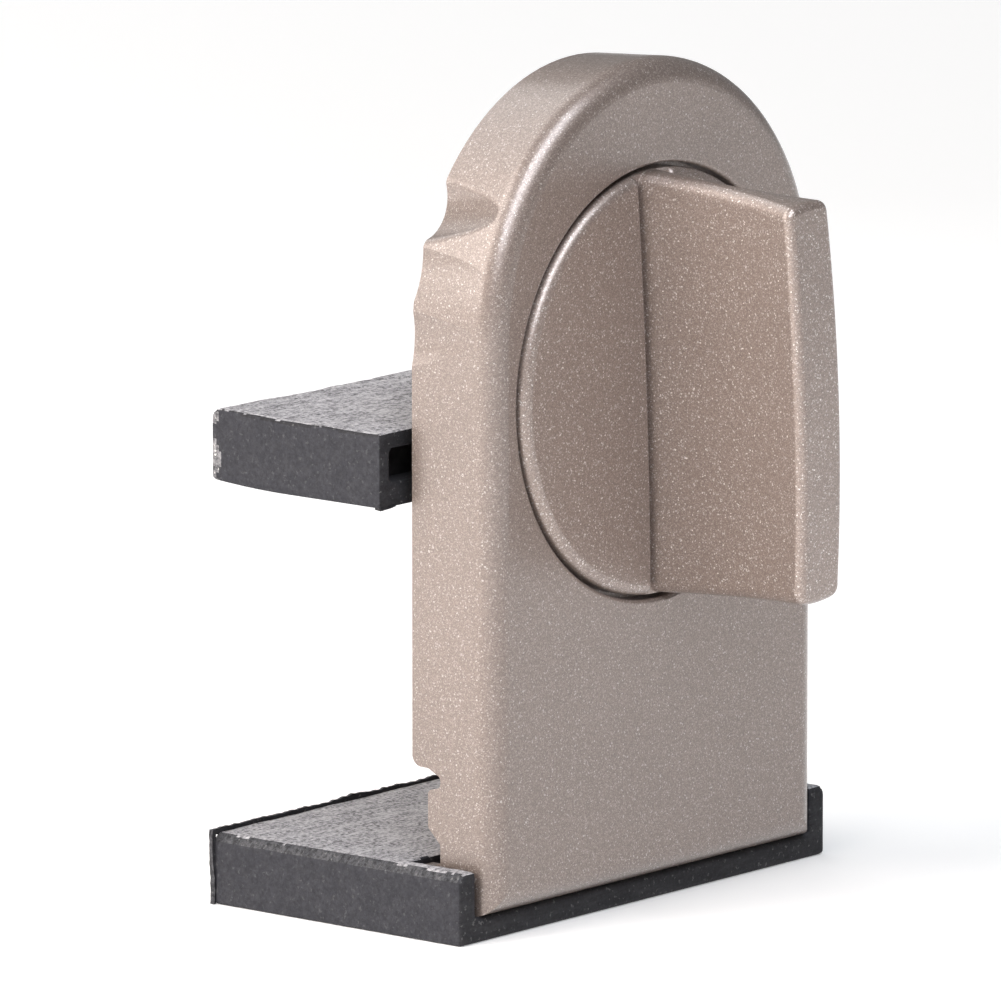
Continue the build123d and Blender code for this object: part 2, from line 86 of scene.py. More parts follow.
# %% [markdown]
# The picture was taken with a long lens from far away, which is why upright edges stay upright
# and the far jaw looks as large as the near one. The camera stands off to the knob's left, a
# little above it. Its place is worked out from two angles and a distance, as a photographer
# would note them, and the lens from the width of the sensor. The distance and the two shifts
# are counted in radii of the knob's ring, the one true circle that the picture shows.

# %% Camera
PICTURE_WIDTH = 1001
FOCAL_PIXELS = 14000.0
SENSOR_WIDTH = 36
CAMERA_AZIMUTH = 50.37
CAMERA_ELEVATION = 10.57
RING_RADIUS = 15.0 * MM
SIDE_SHIFT = -0.72524
UP_SHIFT = -0.54613
DISTANCE = 64.348
NEAREST_SEEN = 0.01
FARTHEST_SEEN = 50


def add_camera():
    """A long lens on the knob side, turned to the left and looking slightly down."""
    azimuth = math.radians(CAMERA_AZIMUTH)
    elevation = math.radians(CAMERA_ELEVATION)
    level = math.cos(elevation)
    right = Vector((math.cos(azimuth), -math.sin(azimuth), 0))
    ahead = Vector((math.sin(azimuth) * level, math.cos(azimuth) * level, -math.sin(elevation)))
    up = right.cross(ahead)
    aim = Vector((0, front_y, knob_axis_z))
    place = aim + RING_RADIUS * (SIDE_SHIFT * right + UP_SHIFT * up - DISTANCE * ahead)
    bpy.ops.object.camera_add(location=place)
    camera = bpy.context.object
    camera.name = "camera"
    camera.rotation_euler = Matrix((right, up, -ahead)).transposed().to_euler()
    camera.data.sensor_width = SENSOR_WIDTH
    camera.data.lens = camera.data.sensor_width * FOCAL_PIXELS / PICTURE_WIDTH
    camera.data.clip_start = NEAREST_SEEN
    camera.data.clip_end = FARTHEST_SEEN
    camera.data.dof.use_dof = False
    bpy.context.scene.camera = camera
    return camera


camera = add_camera()
print("camera lens", round(camera.data.lens), "mm")

# %% [markdown]
# Every finish here is a small tree of nodes. A few helpers keep the trees short: one starts a
# material, one adds a node with its settings, and one each makes a cloudy pattern, a colour
# ramp, a mix of two colours and a bump. All patterns read Object coordinates, so they stay
# where they are when the knob turns.

# %% Helpers for materials


def colour(red, green, blue):
    """A picture colour of 0 to 255, as the linear number that a shader wants."""
    def linear(channel):
        value = channel / 255
        return value / 12.92 if value <= 0.04045 else ((value + 0.055) / 1.055) ** 2.4
    return (linear(red), linear(green), linear(blue), 1.0)


def grey(value):
    """A plain grey for a ramp."""
    return (value, value, value, 1)


def start_material(name):
    """A new node material: its tree, its shader and its Object coordinates."""
    material = bpy.data.materials.new(name)
    material.use_nodes = True
    tree = material.node_tree
    shader = tree.nodes["Principled BSDF"]
    place = tree.nodes.new("ShaderNodeTexCoord")
    return material, tree, shader, place.outputs["Object"]


def add_node(tree, kind, values=None, **settings):
    """A node of a kind, with its settings and the values of its inputs."""
    node = tree.nodes.new(kind)
    for key, value in settings.items():
        setattr(node, key, value)
    for key, value in (values or {}).items():
        node.inputs[key].default_value = value
    return node


def noise(tree, place, scale, detail, roughness=0.5, stretch=None):
    """A cloudy pattern. A stretch squeezes it along X, Y and Z, which draws it into streaks."""
    if stretch:
        mapping = add_node(tree, "ShaderNodeMapping", {"Scale": stretch})
        tree.links.new(place, mapping.inputs["Vector"])
        place = mapping.outputs["Vector"]
    values = {"Scale": scale, "Detail": detail, "Roughness": roughness}
    node = add_node(tree, "ShaderNodeTexNoise", values)
    tree.links.new(place, node.inputs["Vector"])
    return node.outputs["Fac"]


def ramp(tree, value, *stops):
    """A colour for each value, from (position, colour) stops."""
    node = add_node(tree, "ShaderNodeValToRGB")
    while len(node.color_ramp.elements) < len(stops):
        node.color_ramp.elements.new(0.5)
    for element, (position, shade) in zip(node.color_ramp.elements, stops):
        element.position = position
        element.color = shade
    tree.links.new(value, node.inputs["Fac"])
    return node.outputs["Color"]


def blend_colours(tree, amount, first, second, mode="MIX"):
    """Two colours mixed by an amount, which is a socket or a number."""
    node = add_node(tree, "ShaderNodeMix", data_type="RGBA", blend_type=mode)
    factor, left, right = node.inputs[0], node.inputs[6], node.inputs[7]
    for socket, source in ((factor, amount), (left, first), (right, second)):
        if isinstance(source, bpy.types.NodeSocket):
            tree.links.new(source, socket)
        else:
            socket.default_value = source
    return node.outputs[2]


def bump(tree, shader, height, strength, depth, before=None):
    """Raises the surface by a height pattern, in metres of depth."""
    node = add_node(tree, "ShaderNodeBump", {"Strength": strength, "Distance": depth})
    tree.links.new(height, node.inputs["Height"])
    if before:
        tree.links.new(before, node.inputs["Normal"])
    tree.links.new(node.outputs["Normal"], shader.inputs["Normal"])
    return node.outputs["Normal"]


def dress(names, material):
    """Gives a finish to parts, by name."""
    for name in names:
        mesh = nodes[name].data
        mesh.materials.clear()
        mesh.materials.append(material)


print("a middle grey of 128 is", round(colour(128, 128, 128)[0], 3), "to the shader")

# %% [markdown]
# A product on white needs a pale floor that runs out of sight. Lamps stand close to so small a
# thing, so their light fades within a metre and the far floor would turn grey. The floor
# therefore glows faintly, and a little more with distance, until it is as white as the sky.

# %% Floor
FLOOR_SIZE = 12.0
FLOOR_WHITE = (0.95, 0.95, 0.95, 1)
GLOW_STARTS = 0.3
GLOW_ENDS = 1.0
GLOW_NEAR = 0.18
GLOW_FAR = 0.9


def add_floor():
    """A pale matt floor that glows more with distance."""
    bpy.ops.mesh.primitive_plane_add(size=FLOOR_SIZE, location=(0, 0, 0))
    floor = bpy.context.object
    floor.name = "studio_floor"
    material, tree, shader, place = start_material("studio_white")
    shader.inputs["Base Color"].default_value = FLOOR_WHITE
    shader.inputs["Roughness"].default_value = 0.9
    shader.inputs["Specular IOR Level"].default_value = 0.1
    shader.inputs["Emission Color"].default_value = grey(1)
    distance = add_node(tree, "ShaderNodeVectorMath", operation="LENGTH")
    tree.links.new(place, distance.inputs[0])
    glow = add_node(tree, "ShaderNodeMapRange", {"From Min": GLOW_STARTS, "From Max": GLOW_ENDS,
                                                 "To Min": GLOW_NEAR, "To Max": GLOW_FAR})
    tree.links.new(distance.outputs["Value"], glow.inputs["Value"])
    tree.links.new(glow.outputs["Result"], shader.inputs["Emission Strength"])
    floor.data.materials.append(material)
    return floor


floor = add_floor()
print("floor", round(floor.dimensions.x), "metres wide")

# %% [markdown]
# Large lamps give soft edges, and their size matters more than their power. The warm key stands
# high on the left and a little behind, so the side of the housing is brighter than its front,
# and a softer fill beside it reaches the grip's flank. A sheet overhead skims the rubber. A cool
# strip at the front left is rolled to lie along the arch, where it draws the pale band on the
# rounded rim. The two sheens are seen in reflections only, and the fill is left out of them, so
# gloss and general light can be set apart.

# %% Lamps and sky
LAMP_TARGET = (0, 0, 30 * MM)
ALONG_THE_ARCH = 49
SKY_STRENGTH = 0.2
LAMPS = (  # name, place, width, height, power, tint, roll in degrees
    ("key_left", (-0.42, 0.27, 0.32), 0.44, 0.56, 2.8, (1.0, 0.96, 0.92), 0),
    ("flank_fill", (-0.46, 0.02, 0.25), 0.45, 0.5, 2.3, (1.0, 0.90, 0.81), 0),
    ("rim_sheen", (-0.20, -0.33, 0.54), 0.75, 0.42, 2.9, (0.86, 0.92, 1.0), ALONG_THE_ARCH),
    ("back_sheen", (-0.12, 0.42, 0.46), 0.7, 0.4, 0.35, (1.0, 0.99, 0.97), 0),
    ("skim_top", (0.05, 0.34, 0.50), 0.45, 0.45, 0.8, (1.0, 1.0, 1.0), 0),
    ("rim_strip", (-0.22, -0.32, 0.54), 0.75, 0.22, 2.6, (0.88, 0.93, 1.0), ALONG_THE_ARCH),
)


def add_lamp(name, place, width, height, power, tint, roll):
    """A soft sheet of light at a place, turned to face the lock and rolled about that line."""
    bpy.ops.object.light_add(type="AREA", location=place)
    lamp = bpy.context.object
    lamp.name = name
    lamp.data.shape = "RECTANGLE"
    lamp.data.size = width
    lamp.data.size_y = height
    lamp.data.energy = power
    lamp.data.color = tint
    facing = (Vector(LAMP_TARGET) - Vector(place)).to_track_quat("-Z", "Y")
    lamp.rotation_euler = (facing @ Quaternion((0, 0, 1), math.radians(roll))).to_euler()
    return lamp


lamps = {settings[0]: add_lamp(*settings) for settings in LAMPS}
lamps["flank_fill"].visible_glossy = False
for name in ("rim_sheen", "back_sheen"):
    lamps[name].visible_diffuse = False
world = bpy.data.worlds.new("studio_sky")
bpy.context.scene.world = world
world.use_nodes = True
sky = world.node_tree.nodes["Background"]
sky.inputs["Color"].default_value = grey(1)
sky.inputs["Strength"].default_value = SKY_STRENGTH
bpy.context.scene.view_settings.view_transform = "Standard"
print("lamps:", ", ".join(lamps))

# %% [markdown]
# The housing and the knob wear champagne paint with metal flake. Up close such paint is a field
# of tiny cells: most are a warm greige, some a little darker, and a few are painted bright as
# glints.
# A Voronoi pattern gives each cell its own random number. One ramp turns that number into the
# cell's shade, and a second, with larger cells, adds the rarer flakes, whose glint is painted into
# the colour. The knob's copy is lighter with more painted glints: painted light on its disc and
# grip.

# %% Champagne flake paint
FLAKE_CELLS_PER_METRE = 15000
SPARKLE_CELLS_PER_METRE = 11000
DRIFTS_PER_METRE = 60
PEEL_PER_METRE = 1400
PEEL_DEPTH = 0.02 * MM
FLAKE_DEPTH = 0.01 * MM


def cells(tree, place, scale):
    """Two random numbers for each small cell of the surface."""
    node = add_node(tree, "ShaderNodeTexVoronoi", {"Scale": scale, "Randomness": 1.0})
    tree.links.new(place, node.inputs["Vector"])
    split = add_node(tree, "ShaderNodeSeparateColor")
    tree.links.new(node.outputs["Color"], split.inputs["Color"])
    return split.outputs["Red"], split.outputs["Green"]


def make_paint(name, thin, full, sparkles):
    """Champagne paint with fine flake and rarer painted glints, drifting between two strengths."""
    material, tree, shader, place = start_material(name)
    fine, fine_tilt = cells(tree, place, FLAKE_CELLS_PER_METRE)
    body = ramp(tree, fine, (0.0, colour(128, 114, 107)), (0.55, colour(146, 130, 122)),
                (0.9, colour(157, 143, 135)), (1.0, colour(174, 160, 153)))
    sparkle, sparkle_tilt = cells(tree, place, SPARKLE_CELLS_PER_METRE)
    # The rarer flakes are real, but their bright glint is painted into the base colour.
    painted_glints = ramp(tree, sparkle, (0.0, grey(0)), (0.87, grey(0)), (0.98, grey(0.5 * sparkles)),
                  (1.0, grey(sparkles)))
    painted = blend_colours(tree, painted_glints, body, colour(238, 230, 224))
    cloud = noise(tree, place, DRIFTS_PER_METRE, 2)
    drift = ramp(tree, cloud, (0.3, grey(thin)), (0.7, grey(full)))
    shaded = blend_colours(tree, 1.0, painted, drift, "MULTIPLY")
    tree.links.new(shaded, shader.inputs["Base Color"])
    gloss = ramp(tree, sparkle_tilt, (0.0, grey(0.34)), (1.0, grey(0.5)))
    tree.links.new(gloss, shader.inputs["Roughness"])
    shader.inputs["Metallic"].default_value = 0.5
    shader.inputs["Coat Weight"].default_value = 1.0
    shader.inputs["Coat Roughness"].default_value = 0.24
    peel = noise(tree, place, PEEL_PER_METRE, 2)
    flow = bump(tree, shader, peel, 0.15, PEEL_DEPTH)
    bump(tree, shader, fine_tilt, 0.25, FLAKE_DEPTH, flow)
    return material


housing_paint = make_paint("champagne_flake_paint", 0.80, 0.87, 0.65)
# The knob's copy is lighter and carries more painted glints: painted light on the disc and grip
# that the lamps leave in shade.
knob_paint = make_paint("champagne_knob_paint_with_painted_light", 0.96, 1.0, 0.95)
dress(["housing"], housing_paint)
dress(["knob"], knob_paint)
print("painted", housing_paint.name, "and", knob_paint.name)

# %% [markdown]
# The small steel, zinc and brass pieces inside are seen only through gaps and from behind, but
# each still has its own grain: brushed lines on the plate, fine turning marks on the screws.
# One recipe draws them all, because a fine noise that is squeezed along one or two directions
# turns into lines.

# %% Metals
BRUSH_PER_METRE = 900
TURNING_PER_METRE = 1200
METAL_GRAIN = 0.01 * MM


def make_metal(name, dark, light, rough, stretch, scale):
    """A bare metal with fine lines drawn along one direction."""
    material, tree, shader, place = start_material(name)
    lines = noise(tree, place, scale, 4, 0.6, stretch)
    tree.links.new(ramp(tree, lines, (0.3, dark), (0.7, light)), shader.inputs["Base Color"])
    spread = ramp(tree, lines, (0.2, grey(rough - 0.08)), (0.8, grey(rough + 0.1)))
    tree.links.new(spread, shader.inputs["Roughness"])
    shader.inputs["Metallic"].default_value = 1.0
    bump(tree, shader, lines, 0.2, METAL_GRAIN)
    return material


# The jaw plate's black is lifted to a dark grey: painted light, as the plate sits unlit inside the
# sock's opening.
black_zinc = make_metal("black_zinc", colour(66, 64, 65), colour(90, 88, 89),
                        0.5, (1, 12, 1), BRUSH_PER_METRE)
zinc = make_metal("zinc_plated_steel", colour(128, 127, 124), colour(170, 169, 165),
                  0.42, (1, 1, 12), BRUSH_PER_METRE)
steel = make_metal("turned_steel", colour(150, 150, 150), colour(205, 205, 204),
                   0.3, (8, 1, 8), TURNING_PER_METRE)
brass = make_metal("turned_brass", colour(158, 125, 66), colour(206, 172, 104),
                   0.32, (1, 8, 1), TURNING_PER_METRE)
dress(["jaw_plate"], black_zinc)
dress(["back_plate", "spiral_cam", "jaw_slider"], zinc)
dress(["plate_screw_1", "plate_screw_2", "plate_screw_3", "plate_screw_4"], steel)
dress(["knob_screw", "lock_washer", "follower_pin", "jaw_rivet_left", "jaw_rivet_right"], steel)
dress(["spindle_bush"], brass)
print("metals:", ", ".join(metal.name for metal in (black_zinc, zinc, steel, brass)))

# %% [markdown]
# A thin nylon ring between the knob and the housing keeps the knob where it is put. Nylon is
# milky and never quite even, so a soft mottle is enough.

# %% Nylon
MOTTLE_PER_METRE = 700
MOTTLE_DEPTH = 0.01 * MM


def make_nylon():
    """Milky nylon with a soft mottle."""
    material, tree, shader, place = start_material("natural_nylon")
    mottle = noise(tree, place, MOTTLE_PER_METRE, 3)
    milk = ramp(tree, mottle, (0.3, colour(214, 210, 198)), (0.7, colour(232, 229, 220)))
    tree.links.new(milk, shader.inputs["Base Color"])
    shader.inputs["Roughness"].default_value = 0.5
    bump(tree, shader, mottle, 0.2, MOTTLE_DEPTH)
    return material


nylon = make_nylon()
dress(["friction_washer"], nylon)
print("ring in", nylon.name)

# %% [markdown]
# The pads are black rubber. Their broad upper faces were dragged over the mould and are pale grey
# in streaks, partly drag marks and partly a painted sheen of grazing light. Their sides are
# charcoal with a fine tooth, and their front faces, pocket floors and fins are near black: a
# painted shade.
# Worn edges are rougher, and scuffed ones nearly white. One recipe makes all of them: a fine
# grain, long streaks drawn out along the pad, pale chips, and a bump from grain and streaks.
# Only the shades and the strengths differ.

# %% Rubber
GRAIN_PER_METRE = 3600
DRAG_PER_METRE = 420
CHIPS_PER_METRE = 3000
ALONG_THE_PAD = (1.0, 4.0, 4.0)
DRAG_DEPTH = 0.08 * MM


def make_rubber(name, dark, light, streaks, tooth, speck):
    """Black rubber whose streaks run along the pad, with pale specks where it is torn."""
    material, tree, shader, place = start_material(name)
    grain = noise(tree, place, GRAIN_PER_METRE, 4, 0.75)
    base = ramp(tree, grain, (0.38, dark), (0.62, light))
    drag = noise(tree, place, DRAG_PER_METRE, 6, 0.8, ALONG_THE_PAD)
    # On the top faces these pale streaks are partly real drag marks and partly a painted sheen of
    # grazing light.
    pale = ramp(tree, drag, (0.45, grey(0)), (0.62, grey(streaks)))
    scuffed = blend_colours(tree, pale, base, colour(205, 203, 206))
    chips = noise(tree, place, CHIPS_PER_METRE, 2, 0.6)
    torn = ramp(tree, chips, (0.62, grey(0)), (0.7, grey(speck)))
    speckled = blend_colours(tree, torn, scuffed, colour(216, 214, 212))
    tree.links.new(speckled, shader.inputs["Base Color"])
    shader.inputs["Roughness"].default_value = 0.72
    shader.inputs["Specular IOR Level"].default_value = 0.35
    coarse = bump(tree, shader, drag, 0.35, DRAG_DEPTH)
    bump(tree, shader, grain, 0.5, tooth, coarse)
    return material


RUBBERS = (
    make_rubber("rubber_side", colour(36, 36, 41), colour(48, 48, 54), 0.02, 0.015 * MM, 0.04),
    # The pale top copy: drag marks together with a painted sheen.
    make_rubber("rubber_top_drag_and_sheen", colour(54, 53, 57), colour(184, 182, 186), 0.5, 0.06 * MM, 0.4),
    # The near-black copy is painted shade for front faces, pocket floors, fins and the nib.
    make_rubber("rubber_painted_shade", colour(26, 25, 28), colour(38, 37, 41), 0.02, 0.03 * MM, 0.1),
    make_rubber("rubber_torn", colour(28, 28, 31), colour(66, 66, 70), 0.08, 0.06 * MM, 0.12),
    make_rubber("rubber_scuffed", colour(46, 46, 50), colour(120, 119, 122), 0.3, 0.06 * MM, 1.0),
)
SIDE, TOP, PAINTED_SHADE, TORN, SCUFF = range(len(RUBBERS))
print("rubbers:", ", ".join(material.name for material in RUBBERS))

# %% [markdown]
# A moulded pad starts as a plain block. Cutting blocks out of it with a Boolean leaves the same
# pockets that the real mould leaves. Only then is it remeshed into small even squares, because
# even squares can be pushed about like clay. Every helper deselects everything first, since an
# operator acts on all that is selected.

# %% Helpers for modelling
VOXEL = 0.22 * MM
SMOOTH_ANGLE = math.radians(42)
SAME_LENGTH = 0.01 * MM


def pick(piece):
    """Selects one object alone and makes it active."""
    bpy.ops.object.select_all(action="DESELECT")
    piece.select_set(True)
    bpy.context.view_layer.objects.active = piece


def block(name, low, high):
    """A box between two corners."""
    bpy.ops.object.select_all(action="DESELECT")
    bpy.ops.mesh.primitive_cube_add(size=1, location=(Vector(low) + Vector(high)) / 2)
    piece = bpy.context.object
    piece.name = name
    piece.scale = Vector(high) - Vector(low)
    bpy.ops.object.transform_apply(location=True, rotation=True, scale=True)
    return piece


def cut_out(piece, tool):
    """Takes one shape out of another with a Boolean, and throws the tool away."""
    modifier = piece.modifiers.new("pocket", "BOOLEAN")
    modifier.operation = "DIFFERENCE"
    modifier.object = tool
    pick(piece)
    bpy.ops.object.modifier_apply(modifier="pocket")
    bpy.data.objects.remove(tool)


def near(value, target):
    """True when two lengths differ by less than a hundredth of a millimetre."""
    return abs(value - target) < SAME_LENGTH


def bevel_edges(piece, width, steps, wanted):
    """Bevels the edges that pass a test of their middle and their direction."""
    pick(piece)
    bpy.ops.object.mode_set(mode="EDIT")
    bpy.ops.mesh.select_mode(type="EDGE")
    bpy.ops.mesh.select_all(action="DESELECT")
    bpy.ops.object.mode_set(mode="OBJECT")
    points = piece.data.vertices
    for edge in piece.data.edges:
        first, second = (points[index].co for index in edge.vertices)
        edge.select = wanted((first + second) / 2, (second - first).normalized())
    bpy.ops.object.mode_set(mode="EDIT")
    bpy.ops.mesh.bevel(offset=width, segments=steps, affect="EDGES")
    bpy.ops.object.mode_set(mode="OBJECT")


def remesh(piece, size):
    """Rebuilds the surface in small even squares."""
    modifier = piece.modifiers.new("even", "REMESH")
    modifier.mode = "VOXEL"
    modifier.voxel_size = size
    pick(piece)
    bpy.ops.object.modifier_apply(modifier="even")


def waves(point, size, seed):
    """A smooth random number from -1 to 1 that changes over the given size."""
    return smooth_noise.noise(point / size + Vector((seed, seed, seed)))


def push(piece, move):
    """Moves every point by what a rule gives for its place and its normal."""
    moves = [move(point.co, point.normal) for point in piece.data.vertices]
    for point, step in zip(piece.data.vertices, moves):
        point.co += step
    piece.data.update()


def finish_faces(piece, choose):
    """Gives each face its rubber, by its middle and its normal."""
    piece.data.materials.clear()
    for material in RUBBERS:
        piece.data.materials.append(material)
    for face in piece.data.polygons:
        face.material_index = choose(face.center, face.normal)


def join_pieces(piece, others):
    """Joins other meshes into one piece."""
    pick(piece)
    for other in others:
        other.select_set(True)
    bpy.ops.object.join()


print("each pad is rebuilt in squares of", VOXEL / MM, "mm")

# %% [markdown]
# Where the two halves of a mould meet, a little rubber is squeezed out and stands up as a thin
# ragged fin. It is drawn as a narrow grid whose upper edge goes up and down with two smooth
# waves, a long one and a short one, and a Solidify modifier gives it its thickness. It is made
# along X and then laid where it belongs, so that one recipe serves every joint.

# %% Squeezed fins
FIN_STEP = 0.16 * MM
FIN_ROWS = 3
LONG_RAG = 3.4 * MM
SHORT_RAG = 0.5 * MM
FIN_SWAY = 3 * MM
SWAY_SHARE = 0.4
MEAN_RAG = 0.62
LONG_RAG_SHARE = 0.4
SHORT_RAG_SHARE = 0.25
LOWEST_RAG = 0.12
FIN_ROOT = 0.3


def flash_fin(name, length, height, thickness, seed):
    """A thin ragged fin along X that stands up in Z, as rubber squeezed from a mould's joint."""
    bpy.ops.object.select_all(action="DESELECT")
    columns = int(length / FIN_STEP)
    bpy.ops.mesh.primitive_grid_add(x_subdivisions=columns, y_subdivisions=FIN_ROWS, size=1)
    fin = bpy.context.object
    fin.name = name
    for point in fin.data.vertices:
        across = point.co.y + 0.5
        spot = Vector((point.co.x * length, 0, 0))
        long_rag = LONG_RAG_SHARE * waves(spot, LONG_RAG, seed)
        short_rag = SHORT_RAG_SHARE * waves(spot, SHORT_RAG, seed + 5)
        ragged = MEAN_RAG + long_rag + short_rag
        lean = SWAY_SHARE * thickness * waves(spot, FIN_SWAY, seed + 9) * across
        rise = max(ragged, LOWEST_RAG) * across - FIN_ROOT * (1 - across)
        point.co = Vector((spot.x, lean, rise * height))
    modifier = fin.modifiers.new("thick", "SOLIDIFY")
    modifier.thickness = thickness
    modifier.offset = 0
    bpy.ops.object.modifier_apply(modifier="thick")
    return fin


def place_fin(fin, start, along, outward):
    """Lays a fin's middle at a point, with its length and height along two directions."""
    across = Vector(outward).cross(Vector(along))
    turn = Matrix((along, across, outward)).transposed().to_4x4()
    fin.matrix_world = Matrix.Translation(start) @ turn
    pick(fin)
    bpy.ops.object.transform_apply(location=True, rotation=True, scale=True)


print("fins are drawn in steps of", FIN_STEP / MM, "mm")

# %% [markdown]
# The lower pad is a boot for the foot. A wide cut at the front takes the housing, and a slot
# runs back under the skin for the foot plate. Its upper side edges are worn to a rough slant, so
# they get a wide bevel, and the other edges a small one. Cuts come before the remesh, while the
# block has only a few faces, because a Boolean is quick and clean there.

# %% Lower pad: block, bevels and cuts
PAD_EDGE = 0.22 * MM
SIDE_WALL = 1.7 * MM
LOWER_SKIN = 1.25 * MM
SKIN_LEAD = 0.35 * MM
END_WALL = 1.75 * MM
WORN_SLANT = 0.55 * MM
boot_inner = lower_high.x - SIDE_WALL


def upper_side_edge(middle, way):
    """The two long upper edges at the sides."""
    return near(abs(middle.x), lower_high.x) and near(middle.z, lower_high.z)


def small_boot_edge(middle, way):
    """The edges round the sole, the upright ones and the upper one at the rear."""
    at_rear = near(middle.z, lower_high.z) and near(middle.y, lower_high.y)
    return near(middle.z, 0) or abs(way.z) > 0.9 or at_rear


def cut_lower_pad():
    """The boot on the foot, bevelled, cut and remeshed."""
    pad = block("lower_boot", lower_low, lower_high)
    bevel_edges(pad, WORN_SLANT, 1, upper_side_edge)
    bevel_edges(pad, PAD_EDGE, 2, small_boot_edge)
    start = (-boot_inner, front_y - MM, housing_low.z)
    cut_out(pad, block("front_cut", start, (boot_inner, -SKIN_LEAD, 2 * lower_high.z)))
    cut_out(pad, block("foot_slot", start,
                       (boot_inner, lower_high.y - END_WALL, lower_high.z - LOWER_SKIN)))
    remesh(pad, VOXEL)
    return pad


lower_boot = cut_lower_pad()
print("lower pad:", len(lower_boot.data.polygons), "even faces")

# %% [markdown]
# Real rubber is never flat. Smooth random waves a few millimetres long make the skin look soft,
# and shorter ones on the slant make it look worn. After that each face is given its rubber by
# where it lies and where it points: drag marks with painted sheen on top, torn on the slant, and
# painted shade at the front and on the floor of the foot slot.

# %% Lower pad: waves and wear
SKIN_SWELL = 0.06 * MM
SKIN_SWELL_LENGTH = 5 * MM
SKIN_RIPPLE = 0.03 * MM
SKIN_RIPPLE_LENGTH = 1.2 * MM
WEAR_LENGTH = 0.7 * MM
SIDE_SWELL = 0.03 * MM
SIDE_SWELL_LENGTH = 3 * MM


def boot_wave(place, normal):
    """How far a point of the boot moves."""
    step = Vector((0, 0, 0))
    if normal.z > 0.5 and place.z > lower_high.z - LOWER_SKIN:
        swell = SKIN_SWELL * waves(place, SKIN_SWELL_LENGTH, 1)
        step.z = swell + SKIN_RIPPLE * waves(place, SKIN_RIPPLE_LENGTH, 2)
    if normal.z > 0.2 and abs(normal.x) > 0.3:
        step += SKIN_RIPPLE * waves(place, WEAR_LENGTH, 3) * normal
    if abs(normal.x) > 0.8 and abs(place.x) > boot_inner:
        step.x = SIDE_SWELL * waves(place, SIDE_SWELL_LENGTH, 4)
    return step


def boot_rubber(middle, normal):
    """Which rubber a face of the boot wears."""
    # Floors of the foot slot and the front faces take the painted shade.
    if middle.z < lower_high.z - 0.9 * LOWER_SKIN and normal.z > 0.3:
        return PAINTED_SHADE
    in_from_side = lower_high.x - abs(middle.x)
    down_from_top = lower_high.z - middle.z
    if in_from_side + down_from_top < WORN_SLANT * 1.1 and normal.z > 0.1:
        return TORN
    if normal.z > 0.85:
        return TOP
    if normal.y < -0.7:
        return PAINTED_SHADE
    return SIDE


push(lower_boot, boot_wave)
finish_faces(lower_boot, boot_rubber)
print("lower pad wears", len(lower_boot.data.materials), "rubbers")

# %% [markdown]
# A fin of squeezed rubber stands round the boot's rear face: one along the top and one up each
# side, the side ones a little thicker. They are joined to the boot, which is then smoothed by
# angle, so that its waves look soft while its edges stay sharp. Last, it is parented to the body
# that carries it, and the plain solid it stands in for is hidden.

# %% Lower pad: fins, and its place on the lock
FIN_HEIGHT = 0.42 * MM
FIN_THICKNESS = 0.22 * MM
SIDE_FIN_HEIGHT = 0.8 * FIN_HEIGHT
SIDE_FIN_THICKNESS = 1.5 * FIN_THICKNESS
side_fin_length = 1.04 * lower_high.z
side_fin_middle = 0.53 * lower_high.z


def boot_fins():
    """The fins round the boot's rear face."""
    rear = lower_high.y - 0.6 * FIN_THICKNESS
    top_fin = flash_fin("top_fin", 2 * lower_high.x, FIN_HEIGHT, FIN_THICKNESS, 3)
    place_fin(top_fin, (0, rear, lower_high.z), (1, 0, 0), (0, 0, 1))
    fins = [top_fin]
    for side in (-1, 1):
        fin = flash_fin("side_fin", side_fin_length, SIDE_FIN_HEIGHT, SIDE_FIN_THICKNESS, 7 + side)
        place_fin(fin, (side * lower_high.x, rear, side_fin_middle), (0, 0, 1), (side, 0, 0))
        fins.append(fin)
    for fin in fins:
        finish_faces(fin, lambda middle, normal: PAINTED_SHADE if abs(normal.y) > 0.5 else TORN)
    return fins


def fit_lower_pad(pad):
    """Smooths the boot and seats it on the lock."""
    pick(pad)
    bpy.ops.object.shade_smooth_by_angle(angle=SMOOTH_ANGLE)
    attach(pad, "body")
    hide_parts("lower_pad")


join_pieces(lower_boot, boot_fins())
fit_lower_pad(lower_boot)
print("lower pad:", len(lower_boot.data.polygons), "faces")

# %% [markdown]
# The upper pad is a sock over the jaw plate, open towards the housing. Its upper rear edge is
# well rounded, so it gets a wide bevel in three steps. One block cut out of the front makes the
# pocket, and its walls are as thick as the real pad's look at the opening.

# %% Upper pad: block, bevels and pocket
SOCK_WALL = 1.1 * MM
SOCK_FLOOR = 1.75 * MM
SOCK_SKIN = 1.2 * MM
SOCK_END = 1.85 * MM
REAR_CORNER = 0.75 * MM


def upper_rear_edge(middle, way):
    """The long upper edge at the rear."""
    return near(middle.y, upper_high.y) and near(middle.z, upper_high.z)


def small_sock_edge(middle, way):
    """The edges at the sides and underneath, apart from those at the opening."""
    low_or_side = near(middle.z, upper_low.z) or near(abs(middle.x), upper_high.x)
    return low_or_side and not near(middle.y, upper_low.y)


def cut_upper_pad():
    """The sock on the jaw plate, bevelled, cut and remeshed."""
    pad = block("upper_sock", upper_low, upper_high)
    bevel_edges(pad, REAR_CORNER, 3, upper_rear_edge)
    bevel_edges(pad, PAD_EDGE, 2, small_sock_edge)
    inner = upper_high.x - SOCK_WALL
    cut_out(pad, block("sock", (-inner, upper_low.y - MM, upper_low.z + SOCK_FLOOR),
                       (inner, upper_high.y - SOCK_END, upper_high.z - SOCK_SKIN)))
    remesh(pad, VOXEL)
    return pad


upper_sock = cut_upper_pad()
print("upper pad:", len(upper_sock.data.polygons), "even faces")

